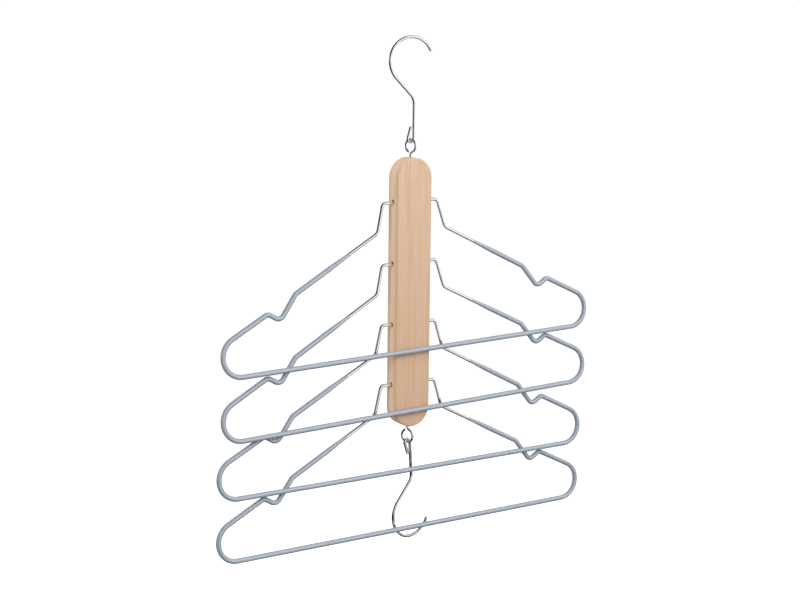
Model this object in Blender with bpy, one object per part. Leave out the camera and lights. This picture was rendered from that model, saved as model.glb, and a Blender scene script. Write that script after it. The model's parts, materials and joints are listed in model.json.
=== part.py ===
"""A multi hanger: a beech bar with four swinging coated-wire hangers, and a wire hook at each of its ends.

Metres, +Z up, X along the hangers, -Y to the front. The origin is where a rail touches the top hook from below.
"""

from math import asin, atan2, ceil, cos, degrees, hypot, pi, radians, sin, tan

import bmesh
import bpy

# Wooden bar
BAR_LENGTH = 0.270
BAR_WIDTH = 0.040
BAR_THICKNESS = 0.0175
BAR_EDGE_RADIUS = 0.0018

# Hangers: one bent wire each, hung in a row of holes in the bar's narrow sides
HANGER_COUNT = 4
HANGER_PITCH = 0.061
WIRE_RADIUS = 0.00165
STUB_DEPTH = 0.0125
STUB_REACH = 0.0116
STUB_BEND_RADIUS = 0.0045
NECK_DROP = 0.0285
NECK_SPREAD = 0.0078
NECK_BEND_RADIUS = 0.008
NOTCH_START_X = 0.1332
NOTCH_START_DROP = 0.0776
NOTCH_WIDTH = 0.0176
NOTCH_DEPTH = 0.0231
LIP_WIDTH = 0.0128
LIP_RISE = 0.0076
NOTCH_BEND_RADIUS = 0.006
RAIL_DROP = 0.1485
RAIL_HALF_WIDTH = 0.212
END_RADIUS = 0.0192

# Dipped coat over each hanger, bare near the bar
COAT_WALL = 0.00065
COAT_TIP_WALL = 0.0003
COAT_START_X = 0.066
COAT_FULL_X = 0.098

# Hook, the same above and below the bar
HOOK_WIRE_RADIUS = 0.0015
HOOK_BOWL_RADIUS = 0.0234
HOOK_LENGTH = 0.0757
HOOK_NECK_ANGLE = 45
HOOK_NECK_BEND_RADIUS = 0.013
HOOK_TIP_ANGLE = 25
HOOK_EYE_ROOM = 0.00075
HOOK_TAIL_LENGTH = 0.0118
TOP_HOOK_TURN = -5
LOWER_HOOK_TURN = 9

# Screw eye, the same at both ends of the bar
EYE_WIRE_RADIUS = 0.001
EYE_RING_RADIUS = 0.0065
EYE_STEM = 0.0048
EYE_SHANK_LENGTH = 0.016
EYE_POINT_LENGTH = 0.003
EYE_POINT_SHARE = 0.3
EYE_BEND_RADIUS = 0.0028
EYE_JOIN_ANGLE = -62
EYE_END_ANGLE = 250
TOP_EYE_TURN = -75
LOWER_EYE_TURN = -68

# Clearances
HOLE_CLEARANCE = 0.0006
HOLE_END_CLEARANCE = 0.0015
PILOT_CLEARANCE = 0.0003
COAT_CLEARANCE = 0.0002
LINK_CLEARANCE = 0.0003
REST_CLEARANCE = 0.0004

# Share of the play in its holes by which each hanger, from the top, sits higher at its right
HANGER_TIP_SHARES = (0.95, 0.97, 0.0, 0.0)

# Fineness of the solids
BEND_STEP = radians(22)
BOWL_STEP = radians(11)
RING_STEP = radians(15)
OUTLINE_STEP = radians(10)
TUBE_DETAIL = 2
HOLE_SIDES = 20

# Sizes that follow from those above
HOLE_RADIUS = WIRE_RADIUS + HOLE_CLEARANCE
BORE_RADIUS = WIRE_RADIUS + COAT_CLEARANCE
COAT_RADIUS = BORE_RADIUS + COAT_WALL
BAR_HALF_WIDTH = BAR_WIDTH / 2
HOOK_EYE_RADIUS = HOOK_WIRE_RADIUS + EYE_WIRE_RADIUS + HOOK_EYE_ROOM
EYE_RISE = EYE_STEM + 2 * EYE_RING_RADIUS + EYE_WIRE_RADIUS

# Heights, from the rail down
LINK_OFFSET = HOOK_WIRE_RADIUS + EYE_WIRE_RADIUS + LINK_CLEARANCE
BOWL_HEIGHT = HOOK_EYE_RADIUS - LINK_OFFSET + HOOK_LENGTH
TOP_LINK_Z = HOOK_WIRE_RADIUS - HOOK_BOWL_RADIUS - BOWL_HEIGHT
BAR_TOP_Z = TOP_LINK_Z + EYE_WIRE_RADIUS - EYE_RISE
BAR_MIDDLE_Z = BAR_TOP_Z - BAR_LENGTH / 2
BAR_BOTTOM_Z = BAR_TOP_Z - BAR_LENGTH
LOWER_LINK_Z = BAR_BOTTOM_Z - EYE_RISE + EYE_WIRE_RADIUS

BEECH = ("beech", (0.80, 0.60, 0.43, 1), 0.55, 0.0)
CHROME = ("chrome_plated_wire", (0.86, 0.87, 0.88, 1), 0.12, 1.0)
COAT = ("dipped_coat", (0.42, 0.47, 0.56, 1), 0.45, 0.0)


def clear_scene():
    for leftover in list(bpy.data.objects):
        bpy.data.objects.remove(leftover, do_unlink=True)


def new_collection(name, parent):
    collection = bpy.data.collections.new(name)
    parent.children.link(collection)
    return collection


def new_material(name, colour, roughness, metallic):
    material = bpy.data.materials.new(name)
    material.use_nodes = True
    shader = material.node_tree.nodes["Principled BSDF"]
    shader.inputs["Base Color"].default_value = colour
    shader.inputs["Roughness"].default_value = roughness
    shader.inputs["Metallic"].default_value = metallic
    material.diffuse_color = colour
    return material


def arc(centre, radius, start, end, step):
    """Points on an arc in a plane, both ends included, from one angle to another."""
    count = max(1, ceil(abs(end - start) / step))
    angles = [start + (end - start) * i / count for i in range(count + 1)]
    return [(centre[0] + radius * cos(a), centre[1] + radius * sin(a)) for a in angles]


def rounded_corner(before, corner, after, radius, step):
    """The arc that rounds a corner between two straight legs."""
    into = atan2(corner[1] - before[1], corner[0] - before[0])
    out = atan2(after[1] - corner[1], after[0] - corner[0])
    turn = (out - into + pi) % (2 * pi) - pi
    side = 1 if turn > 0 else -1
    back = radius * tan(abs(turn) / 2)
    first = (corner[0] - back * cos(into), corner[1] - back * sin(into))
    centre = (first[0] - side * radius * sin(into), first[1] + side * radius * cos(into))
    start = into - side * pi / 2
    return arc(centre, radius, start, start + turn, step)


def rounded_path(start, corners, end, step=BEND_STEP):
    """Points from start to end past corners given as (x, z, bend radius)."""
    stops = [start] + [corner[:2] for corner in corners] + [end]
    points = [start]
    for i, corner in enumerate(corners):
        points += rounded_corner(stops[i], stops[i + 1], stops[i + 2], corner[2], step)
    return points + [end]


def tube_curve(name, points, radius, shares=None):
    """A round wire along points in the XZ plane; shares scale its radius at each point."""
    curve = bpy.data.curves.new(name, "CURVE")
    curve.dimensions = "3D"
    curve.bevel_depth = radius
    curve.bevel_resolution = TUBE_DETAIL
    curve.use_fill_caps = True
    spline = curve.splines.new("POLY")
    spline.points.add(len(points) - 1)
    for i, (x, z) in enumerate(points):
        spline.points[i].co = (x, 0, z, 1)
        spline.points[i].radius = shares[i] if shares else 1
    return curve


def add_object(name, data, collection, parent=None, place=(0, 0, 0), turn=(0, 0, 0)):
    """An object at a place and turn that are measured from its parent."""
    new = bpy.data.objects.new(name, data)
    collection.objects.link(new)
    new.parent = parent
    new.location = place
    new.rotation_euler = turn
    return new


def make_cutter(cutter):
    cutter.hide_render = True
    cutter.display_type = "WIRE"


def mesh_of(source, name):
    """The evaluated shape of an object as a welded mesh."""
    graph = bpy.context.evaluated_depsgraph_get()
    mesh = bpy.data.meshes.new_from_object(source.evaluated_get(graph), depsgraph=graph)
    mesh.name = name
    shape = bmesh.new()
    shape.from_mesh(mesh)
    bmesh.ops.remove_doubles(shape, verts=shape.verts, dist=1e-6)
    shape.to_mesh(mesh)
    shape.free()
    return mesh


def as_mesh_object(curve_object):
    """Swaps a curve object for a mesh object of the same name, place and collection."""
    name = curve_object.name
    collection = curve_object.users_collection[0]
    matrix = curve_object.matrix_world.copy()
    mesh = mesh_of(curve_object, name)
    bpy.data.objects.remove(curve_object, do_unlink=True)
    solid = add_object(name, mesh, collection)
    solid.matrix_world = matrix
    return solid


def cut(target, name, **operand):
    boolean = target.modifiers.new(name, "BOOLEAN")
    boolean.operation = "DIFFERENCE"
    boolean.solver = "EXACT"
    for key, value in operand.items():
        setattr(boolean, key, value)
    return boolean


# Bar


def hanger_pivot_z(index):
    """Height of a hanger's holes: the row is centred on the bar."""
    return BAR_MIDDLE_Z + HANGER_PITCH * ((HANGER_COUNT - 1) / 2 - index)


def bar_outline():
    """A stadium in the XY plane of a flat curve, its long side along Y."""
    half = BAR_LENGTH / 2
    corners = [(-BAR_HALF_WIDTH, -half), (BAR_HALF_WIDTH, -half), (BAR_HALF_WIDTH, half), (-BAR_HALF_WIDTH, half)]
    points = []
    for i, corner in enumerate(corners):
        points += rounded_corner(corners[i - 1], corner, corners[(i + 1) % 4], BAR_HALF_WIDTH, OUTLINE_STEP)
    return [p for i, p in enumerate(points) if hypot(p[0] - points[i - 1][0], p[1] - points[i - 1][1]) > 1e-6]


def drill(name, holes, place, turn, radius, depth):
    """A blind hole: a cylinder that runs its depth inwards and as far outwards of place."""
    bpy.ops.mesh.primitive_cylinder_add(vertices=HOLE_SIDES, radius=radius, depth=2 * depth, location=place, rotation=turn)
    cutter = bpy.context.object
    cutter.name = name
    for owner in list(cutter.users_collection):
        owner.objects.unlink(cutter)
    holes.objects.link(cutter)
    make_cutter(cutter)


def make_bar(collection, holes, parent):
    curve = bpy.data.curves.new("wooden_bar", "CURVE")
    curve.dimensions = "2D"
    curve.fill_mode = "BOTH"
    curve.extrude = BAR_THICKNESS / 2 - BAR_EDGE_RADIUS
    curve.bevel_depth = BAR_EDGE_RADIUS
    curve.bevel_resolution = TUBE_DETAIL
    curve.offset = -BAR_EDGE_RADIUS
    outline = bar_outline()
    spline = curve.splines.new("POLY")
    spline.use_cyclic_u = True
    spline.points.add(len(outline) - 1)
    for i, (x, y) in enumerate(outline):
        spline.points[i].co = (x, y, 0, 1)
    flat = add_object("wooden_bar", curve, collection, place=(0, 0, BAR_MIDDLE_Z), turn=(pi / 2, 0, 0))
    bpy.context.view_layer.update()
    bar = as_mesh_object(flat)
    for index in range(HANGER_COUNT):
        for side in (-1, 1):
            mouth = (side * BAR_HALF_WIDTH, 0, hanger_pivot_z(index))
            name = f"hanger_hole_{index + 1}_{'left' if side < 0 else 'right'}"
            drill(name, holes, mouth, (0, pi / 2, 0), HOLE_RADIUS, STUB_DEPTH + HOLE_END_CLEARANCE)
    for name, end in (("top_pilot_hole", BAR_TOP_Z), ("lower_pilot_hole", BAR_BOTTOM_Z)):
        depth = EYE_SHANK_LENGTH + HOLE_END_CLEARANCE
        drill(name, holes, (0, 0, end), (0, 0, 0), EYE_WIRE_RADIUS + PILOT_CLEARANCE, depth)
    cut(bar, "drilled_holes", operand_type="COLLECTION", collection=holes)
    bar.parent = parent
    bar.matrix_parent_inverse = parent.matrix_world.inverted()
    return bar


# Screw eye


def screw_eye_curve():
    """Shank up from its point, a small bend to one side, then the ring round to a free end by the neck."""
    centre = (0, EYE_STEM + EYE_RING_RADIUS)
    ring = arc(centre, EYE_RING_RADIUS, radians(EYE_JOIN_ANGLE), radians(EYE_END_ANGLE), RING_STEP)
    join = radians(EYE_JOIN_ANGLE)
    neck = (0, centre[1] + EYE_RING_RADIUS * (sin(join) + cos(join) / tan(join)))
    shank = [(0, -EYE_SHANK_LENGTH), (0, EYE_POINT_LENGTH - EYE_SHANK_LENGTH)]
    bend = rounded_corner(shank[-1], neck, ring[0], EYE_BEND_RADIUS, BEND_STEP)
    points = shank + bend + ring
    shares = [EYE_POINT_SHARE] + [1] * (len(points) - 1)
    return tube_curve("screw_eye", points, EYE_WIRE_RADIUS, shares)


# Hook


def hook_path():
    """From the eye's tail round the narrow eye, up the stem and over the bowl to the tip.

    The path starts from the middle of the ring's wire, which the eye holds.
    """
    eye = (0, HOOK_EYE_RADIUS - LINK_OFFSET)
    bowl = (0, BOWL_HEIGHT)
    touch = HOOK_EYE_RADIUS - 2 * HOOK_WIRE_RADIUS - LINK_CLEARANCE
    tail = (touch, eye[1] + HOOK_TAIL_LENGTH)
    reach = hypot(tail[0], tail[1] - eye[1])
    tangent = atan2(tail[1] - eye[1], tail[0]) + pi - asin(HOOK_EYE_RADIUS / reach) - pi / 2
    loop = arc(eye, HOOK_EYE_RADIUS, tangent, 2 * pi, RING_STEP)
    lean = radians(HOOK_NECK_ANGLE)
    join = (bowl[0] - HOOK_BOWL_RADIUS * cos(lean), bowl[1] - HOOK_BOWL_RADIUS * sin(lean))
    rise = (join[0] - HOOK_EYE_RADIUS) * tan(pi / 2 - lean)
    neck = (HOOK_EYE_RADIUS, join[1] + rise)
    bend = rounded_corner(loop[-1], neck, join, HOOK_NECK_BEND_RADIUS, BEND_STEP)
    sweep = arc(bowl, HOOK_BOWL_RADIUS, pi + lean, radians(HOOK_TIP_ANGLE), BOWL_STEP)
    return [tail] + loop + bend + sweep


def plumb_lean(points):
    """The turn at which a hook that hangs from its eye has its weight below it."""
    weight = moment_x = moment_z = 0
    for (x0, z0), (x1, z1) in zip(points, points[1:]):
        length = hypot(x1 - x0, z1 - z0)
        weight += length
        moment_x += length * (x0 + x1) / 2
        moment_z += length * (z0 + z1) / 2
    return atan2(moment_x / weight, moment_z / weight)


# Hanger


NECK = (BAR_HALF_WIDTH + STUB_REACH + NECK_SPREAD, -NECK_DROP)
NOTCH_START = (NOTCH_START_X, -NOTCH_START_DROP)


def shoulder_point(x):
    """The place on the inner shoulder, between the neck and the notch, that lies at x."""
    share = (x - NECK[0]) / (NOTCH_START[0] - NECK[0])
    return (x, NECK[1] + share * (NOTCH_START[1] - NECK[1]))


def outer_half(start, first_corners):
    """Right half of a hanger's line, from start past the notch and round the end to the bottom rail."""
    notch = (NOTCH_START_X + NOTCH_WIDTH, -NOTCH_START_DROP - NOTCH_DEPTH)
    lip = (notch[0] + LIP_WIDTH, notch[1] + LIP_RISE)
    centre = (RAIL_HALF_WIDTH - END_RADIUS, END_RADIUS - RAIL_DROP)
    away = hypot(centre[0] - lip[0], centre[1] - lip[1])
    slope = atan2(centre[1] - lip[1], centre[0] - lip[0]) + asin(END_RADIUS / away)
    end = arc(centre, END_RADIUS, slope + pi / 2, -pi / 2, BEND_STEP)
    bends = [(*NOTCH_START, NOTCH_BEND_RADIUS), (*notch, NOTCH_BEND_RADIUS), (*lip, NOTCH_BEND_RADIUS)]
    return rounded_path(start, first_corners + bends, end[0])[:-1] + end


def mirrored(half):
    """The whole line: the right half, then its mirror image back to the left start."""
    return half + [(-x, z) for x, z in reversed(half)]


def wire_curve():
    stub_end = (BAR_HALF_WIDTH - STUB_DEPTH, 0)
    stub_bend = (BAR_HALF_WIDTH + STUB_REACH, 0, STUB_BEND_RADIUS)
    half = outer_half(stub_end, [stub_bend, (*NECK, NECK_BEND_RADIUS)])
    return tube_curve("hanger_wire", mirrored(half), WIRE_RADIUS)


def coat_mesh(cutters):
    """The tapered tube of the coat with its bore cut through."""
    half = outer_half(shoulder_point(COAT_START_X), [(*shoulder_point(COAT_FULL_X), NECK_BEND_RADIUS)])
    tip_share = (BORE_RADIUS + COAT_TIP_WALL) / COAT_RADIUS
    shares = [tip_share] + [1] * (len(half) - 1)
    outside = tube_curve("coat_outside", mirrored(half), COAT_RADIUS, shares + shares[::-1])
    bore_half = outer_half(shoulder_point(COAT_START_X - COAT_RADIUS), [])
    bore = add_object("coat_bore", tube_curve("coat_bore", mirrored(bore_half), BORE_RADIUS), cutters)
    body = add_object("coat_body", outside, cutters)
    bpy.context.view_layer.update()
    bore = as_mesh_object(bore)
    body = as_mesh_object(body)
    make_cutter(bore)
    cut(body, "wire_bore", object=bore)
    bpy.context.view_layer.update()
    mesh = mesh_of(body, "hanger_coat")
    bpy.data.objects.remove(body, do_unlink=True)
    bpy.data.objects.remove(bore, do_unlink=True)
    return mesh


def rail_forwards():
    """How far in front of the pivots each bottom rail hangs, from the top hanger to the lowest.

    The lowest clears the lower hook. Each other one leans on the shoulders of the next, or on the wood.
    """
    hook_front = HOOK_BOWL_RADIUS * sin(radians(LOWER_HOOK_TURN)) + HOOK_WIRE_RADIUS
    wood_front = BAR_THICKNESS / 2
    forwards = [hook_front + REST_CLEARANCE + COAT_RADIUS]
    for index in reversed(range(HANGER_COUNT - 1)):
        below = forwards[0] * (RAIL_DROP - HANGER_PITCH) / RAIL_DROP
        forward = below + 2 * COAT_RADIUS + REST_CLEARANCE
        if hanger_pivot_z(index) - RAIL_DROP > BAR_BOTTOM_Z:
            forward = max(forward, wood_front + COAT_RADIUS + REST_CLEARANCE)
        forwards.insert(0, forward)
    return forwards


def main():
    clear_scene()
    scene_collection = bpy.context.scene.collection
    parts = new_collection("multi_hanger", scene_collection)
    cutters = new_collection("cutters", scene_collection)
    cutters.hide_render = True
    holes = new_collection("bar_holes", cutters)
    beech = new_material(*BEECH)
    chrome = new_material(*CHROME)
    dipped = new_material(*COAT)

    hook = hook_path()
    hook_curve = tube_curve("hook", hook, HOOK_WIRE_RADIUS)
    hook_curve.materials.append(chrome)
    top_turn = (0, 0, radians(TOP_HOOK_TURN))
    add_object("top_hook", hook_curve, parts, place=(0, 0, TOP_LINK_Z), turn=top_turn)

    swing = add_object("bar_swing", None, parts, place=(0, 0, TOP_LINK_Z))
    bpy.context.view_layer.update()
    bar = make_bar(parts, holes, swing)
    bar.data.materials.append(beech)
    eye_curve = screw_eye_curve()
    eye_curve.materials.append(chrome)
    top_place = (0, 0, BAR_TOP_Z - TOP_LINK_Z)
    lower_place = (0, 0, BAR_BOTTOM_Z - TOP_LINK_Z)
    add_object("top_screw_eye", eye_curve, parts, swing, top_place, (0, 0, radians(TOP_EYE_TURN)))
    add_object("lower_screw_eye", eye_curve, parts, swing, lower_place, (pi, 0, radians(LOWER_EYE_TURN)))
    lower_turn = (pi, plumb_lean(hook), radians(LOWER_HOOK_TURN))
    add_object("lower_hook", hook_curve, parts, swing, (0, 0, LOWER_LINK_Z - TOP_LINK_Z), lower_turn)

    wire = wire_curve()
    wire.materials.append(chrome)
    coat = coat_mesh(cutters)
    coat.materials.append(dipped)
    play = asin(HOLE_CLEARANCE / BAR_HALF_WIDTH)
    for index, forward in enumerate(rail_forwards()):
        tilt = asin(forward / RAIL_DROP)
        tip = play * HANGER_TIP_SHARES[index % len(HANGER_TIP_SHARES)]
        place = (0, 0, hanger_pivot_z(index) - TOP_LINK_Z)
        pivot = add_object(f"hanger_pivot_{index + 1}", None, parts, swing, place, (-tilt, 0, 0))
        add_object(f"hanger_wire_{index + 1}", wire, parts, pivot, turn=(0, -tip, 0))
        add_object(f"hanger_coat_{index + 1}", coat, parts, pivot, turn=(0, -tip, 0))
        print(f"hanger {index + 1}: pivot z {hanger_pivot_z(index):.5f}, forward {forward:.5f}, tilt {degrees(tilt):.2f}")
    print(f"links at {TOP_LINK_Z:.5f} and {LOWER_LINK_Z:.5f}, bar {BAR_TOP_Z:.5f} to {BAR_BOTTOM_Z:.5f}")


main()
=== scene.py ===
"""A multi hanger: four swinging hangers of coated wire on a beech bar, with a chromed hook at each end.

Metres, +Z up, X along the hangers, -Y to the front. The origin is where a rail touches the top hook from
below.
"""

import json
from math import asin, atan2, ceil, cos, hypot, pi, radians, sin, tan

import bmesh
import bpy
from mathutils import Euler, Matrix, Vector

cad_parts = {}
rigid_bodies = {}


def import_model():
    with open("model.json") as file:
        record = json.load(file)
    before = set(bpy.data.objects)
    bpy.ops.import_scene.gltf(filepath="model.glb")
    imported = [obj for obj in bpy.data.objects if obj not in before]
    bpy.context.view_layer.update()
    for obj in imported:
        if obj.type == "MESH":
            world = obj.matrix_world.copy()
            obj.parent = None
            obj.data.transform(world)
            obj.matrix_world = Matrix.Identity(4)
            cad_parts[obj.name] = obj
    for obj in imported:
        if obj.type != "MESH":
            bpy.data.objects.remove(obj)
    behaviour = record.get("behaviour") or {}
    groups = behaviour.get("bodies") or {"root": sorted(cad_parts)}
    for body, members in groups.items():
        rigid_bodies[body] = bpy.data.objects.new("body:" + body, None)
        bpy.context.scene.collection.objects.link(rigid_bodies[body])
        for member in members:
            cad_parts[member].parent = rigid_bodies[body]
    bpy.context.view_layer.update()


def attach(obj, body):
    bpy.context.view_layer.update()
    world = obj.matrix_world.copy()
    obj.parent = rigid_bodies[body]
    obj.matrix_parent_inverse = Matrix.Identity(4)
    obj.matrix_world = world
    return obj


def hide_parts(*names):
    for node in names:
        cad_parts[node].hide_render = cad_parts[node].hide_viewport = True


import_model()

# Wooden bar
BAR_LENGTH = 0.270
BAR_WIDTH = 0.040
BAR_THICKNESS = 0.0175
BAR_EDGE_RADIUS = 0.0018

# Hangers. A tip share is how much of its play in the holes a hanger hangs aslant by, top one first
HANGER_COUNT = 4
HANGER_PITCH = 0.061
WIRE_RADIUS = 0.00165
STUB_DEPTH = 0.0125
STUB_REACH = 0.0116
STUB_BEND_RADIUS = 0.0045
NECK_DROP = 0.0285
NECK_SPREAD = 0.0078
NECK_BEND_RADIUS = 0.008
NOTCH_START_X = 0.1332
NOTCH_START_DROP = 0.0776
NOTCH_WIDTH = 0.0176
NOTCH_DEPTH = 0.0231
LIP_WIDTH = 0.0128
LIP_RISE = 0.0076
NOTCH_BEND_RADIUS = 0.006
RAIL_DROP = 0.1485
RAIL_HALF_WIDTH = 0.212
END_RADIUS = 0.0192
HANGER_TIP_SHARES = (0.95, 0.97, 0.0, 0.0)

# Dipped coat
COAT_RADIUS = 0.0025
COAT_START_X = 0.0725
COAT_FULL_X = 0.098
COAT_FIT = 0.00003
COAT_FEATHER = 0.00004
COAT_UNEVENNESS = 0.00005
COAT_UNEVEN_SIZE = 0.022

# Hooks, with turns and angles in degrees
HOOK_WIRE_RADIUS = 0.0015
HOOK_BOWL_RADIUS = 0.0234
HOOK_LENGTH = 0.0757
HOOK_NECK_ANGLE = 45
HOOK_NECK_BEND_RADIUS = 0.013
HOOK_TIP_ANGLE = 25
HOOK_EYE_ROOM = 0.00075
HOOK_TAIL_LENGTH = 0.0118
TOP_HOOK_TURN = -5
LOWER_HOOK_TURN = 9

# Screw eyes. The full radius is what their wire is drawn with, a little more than in the solids
EYE_WIRE_RADIUS = 0.001
EYE_FULL_RADIUS = 0.00115
EYE_RING_RADIUS = 0.0065
EYE_STEM = 0.0048
EYE_SHANK_LENGTH = 0.016
EYE_POINT_LENGTH = 0.003
EYE_POINT_SHARE = 0.3
EYE_BEND_RADIUS = 0.0028
EYE_JOIN_ANGLE = -62
EYE_END_ANGLE = 250
TOP_EYE_TURN = -75
LOWER_EYE_TURN = -68
THREAD_PITCH = 0.0011
THREAD_DEPTH = 0.00024
THREAD_LENGTH = 0.0148

# Clearances
HOLE_CLEARANCE = 0.0006
HOLE_END_CLEARANCE = 0.0015
PILOT_CLEARANCE = 0.0003
LINK_CLEARANCE = 0.0003
REST_CLEARANCE = 0.0004

# Drills
DRILL_HALF_ANGLE = radians(59)
DRILL_OVERHANG = 0.004
HOLE_MOUTH = 0.0003

# Fineness. An edge share is (part of the way along a cut edge, share of the wire's radius there)
BEND_STEP = radians(5)
BOWL_STEP = radians(3)
OUTLINE_STEP = radians(3)
RUN_STEP = 0.004
THREAD_STEPS = 8
WIRE_SIDES = 24
HOLE_SIDES = 48
EDGE_STEPS = 6
CUT_EDGE = 0.00035
EDGE_SHARES = ((0.0, 0.72), (0.3, 0.88), (1.0, 1.0))
SMOOTH_ANGLE = radians(35)
SAME_POINT = 1e-7

# Sizes that follow from those above
HOLE_RADIUS = WIRE_RADIUS + HOLE_CLEARANCE
BAR_HALF_WIDTH = BAR_WIDTH / 2
HOOK_EYE_RADIUS = HOOK_WIRE_RADIUS + EYE_WIRE_RADIUS + HOOK_EYE_ROOM
EYE_RISE = EYE_STEM + 2 * EYE_RING_RADIUS + EYE_WIRE_RADIUS
LINK_OFFSET = HOOK_WIRE_RADIUS + EYE_WIRE_RADIUS + LINK_CLEARANCE
BOWL_HEIGHT = HOOK_EYE_RADIUS - LINK_OFFSET + HOOK_LENGTH
TOP_LINK_Z = HOOK_WIRE_RADIUS - HOOK_BOWL_RADIUS - BOWL_HEIGHT
BAR_TOP_Z = TOP_LINK_Z + EYE_WIRE_RADIUS - EYE_RISE
BAR_MIDDLE_Z = BAR_TOP_Z - BAR_LENGTH / 2
BAR_BOTTOM_Z = BAR_TOP_Z - BAR_LENGTH
LOWER_LINK_Z = BAR_BOTTOM_Z - EYE_RISE + EYE_WIRE_RADIUS
NECK = (BAR_HALF_WIDTH + STUB_REACH + NECK_SPREAD, -NECK_DROP)
NOTCH_START = (NOTCH_START_X, -NOTCH_START_DROP)

# Camera, with its lens and sensor in millimetres
CAMERA_TURN = radians(-32)
CAMERA_RISE = radians(7.808)
CAMERA_ROLL = radians(0.636)
CAMERA_DISTANCE = 1.432463
CAMERA_SIDEWAYS = 0.009932
CAMERA_UPWARDS = 0.038269
CAMERA_AIM = Vector((0, 0, -0.15935))
CAMERA_LENS = 65.304
CAMERA_SENSOR = 36
CAMERA_SHIFT = -0.075
CAMERA_NEAR = 0.01

# World and floor
WHITE = (1, 1, 1, 1)
BLACK = (0, 0, 0, 1)
WORLD_WHITE = 1.02
WORLD_LIGHT = 0.4
FLOOR_Z = -0.92
FLOOR_SIZE = 40.0
FLOOR_GREY = 0.36
FLOOR_ROUGHNESS = 0.9
FLOOR_GLOW = 0.9

# Lamps: name, place, aim, width and height, and power in watts
LAMPS = (
    ("above_front", (0.85, -1.1, 0.7), (0, 0, -0.2), (1.8, 1.5), 26.0),
    ("front_left", (-1.4, -0.8, 0.2), (0, 0, -0.2), (1.0, 0.8), 16.0),
    ("behind", (0.3, 1.6, 0.3), (0, 0, -0.25), (1.2, 1.2), 20.0),
)

# Shapes that screens share, as profiles of (radius, height)
SCREEN_RADIUS = 4.0
PANEL_RADIUS = SCREEN_RADIUS - 0.1
NEAR_RADIUS = 0.9
SCREEN_FLOOR = -0.9
SCREEN_STEP = 10
WHOLE_GROUND = [(0.05, SCREEN_FLOOR), (SCREEN_RADIUS, SCREEN_FLOOR)]
WIDE_GROUND = [(0.05, SCREEN_FLOOR), (2.6, SCREEN_FLOOR)]
NARROW_GROUND = [(0.05, SCREEN_FLOOR), (0.68, SCREEN_FLOOR)]
HIGH_ROOF = [(SCREEN_RADIUS, 6.5), (0.2, 8.2)]
LOW_ROOF = [(SCREEN_RADIUS, 5.0), (0.2, 8.0)]

# Brightness of the screens beside white
SHADES = {"black": 0.012, "grey": 0.22, "dim": 0.05, "soft_grey": 0.16, "pale": 0.4}

# Screens: name, shade, first and last bearing in degrees from +Y towards +X, and profile
SCREENS = (
    ("left_screen_low", "black", -160, -5, [*WHOLE_GROUND, (SCREEN_RADIUS, -0.15)]),
    ("left_screen_middle", "grey", -160, -5, [(SCREEN_RADIUS, -0.15), (SCREEN_RADIUS, 0.95)]),
    ("left_screen_high", "dim", -160, -5, [(SCREEN_RADIUS, 0.95), *HIGH_ROOF]),
    ("front_screen_high", "soft_grey", 150, 200, [(SCREEN_RADIUS, 4.4), *HIGH_ROOF]),
    ("left_panel", "grey", -115, -60, [(PANEL_RADIUS, -0.5), (PANEL_RADIUS, -0.15)]),
    ("far_screen", "black", 20, 56, [(SCREEN_RADIUS, 1.2), *LOW_ROOF]),
    ("far_right_screen", "pale", 56, 95, [(SCREEN_RADIUS, 1.5), *LOW_ROOF]),
    ("far_left_screen", "black", -5, 20, [(SCREEN_RADIUS, 0.68), (SCREEN_RADIUS, 1.6)]),
    ("far_left_screen_high", "grey", -5, 20, [(SCREEN_RADIUS, 1.6), *LOW_ROOF]),
    ("far_screen_low", "black", 30, 75, WIDE_GROUND),
    ("far_left_screen_low", "grey", -5, 30, WIDE_GROUND),
    ("right_screen_low", "grey", 75, 140, [(NEAR_RADIUS, SCREEN_FLOOR), (NEAR_RADIUS, -0.48)]),
    ("front_screen_low", "grey", 140, 200, [(NEAR_RADIUS, SCREEN_FLOOR), (NEAR_RADIUS, -0.68)]),
    ("under_screen", "black", 75, 152, NARROW_GROUND),
    ("front_under_screen", "grey", 152, 200, NARROW_GROUND),
)

# Colours of the wood and the coat, as a screen shows them from 0 to 255
# The top and bottom colours are painted shade: the wood darkens towards the bottom as if lit from above
BEECH_LIT_TOP = (217, 190, 164)
BEECH_SHADED_BOTTOM = (205, 174, 147)
BEECH_FIBRE = (198, 160, 128)
BEECH_STREAK = (200, 162, 131)
BEECH_BAND = (206, 165, 131)
BEECH_FLECK = (165, 118, 84)
# Painted light: the narrow sides are made lighter than the front
BEECH_PAINTED_SIDE_LIGHT = (252, 220, 189)
# Darker end grain on the ends; the same colour is also painted shade on the rounded rims
BEECH_END_GRAIN_AND_RIM_SHADE = (190, 146, 112)
# Painted shade along the rounded long edges
BEECH_PAINTED_EDGE_SHADE = (186, 136, 98)
# Painted shade on the narrow sides beside the front and back edges
BEECH_PAINTED_NEAR_EDGE_SHADE = (196, 150, 114)
HOLE_LIGHT = (224, 172, 130)
HOLE_DARK = (192, 138, 100)
DIP_DARK = (158, 167, 179)
DIP_LIGHT = (168, 176, 187)
DIP_THIN = (188, 192, 199)

# Shares of the light that chrome reflects
CHROME_DULL = (0.76, 0.77, 0.79, 1)
CHROME_BRIGHT = (0.88, 0.88, 0.89, 1)

# Ranges: the low and the high end of a mask or measure, then what is given at each
FIBRE_SHARE = (0.38, 0.66, 0.0, 0.6)
STREAK_SHARE = (0.44, 0.66, 0.0, 0.75)
BAND_SHARE = (0.4, 0.7, 0.0, 0.25)
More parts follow.
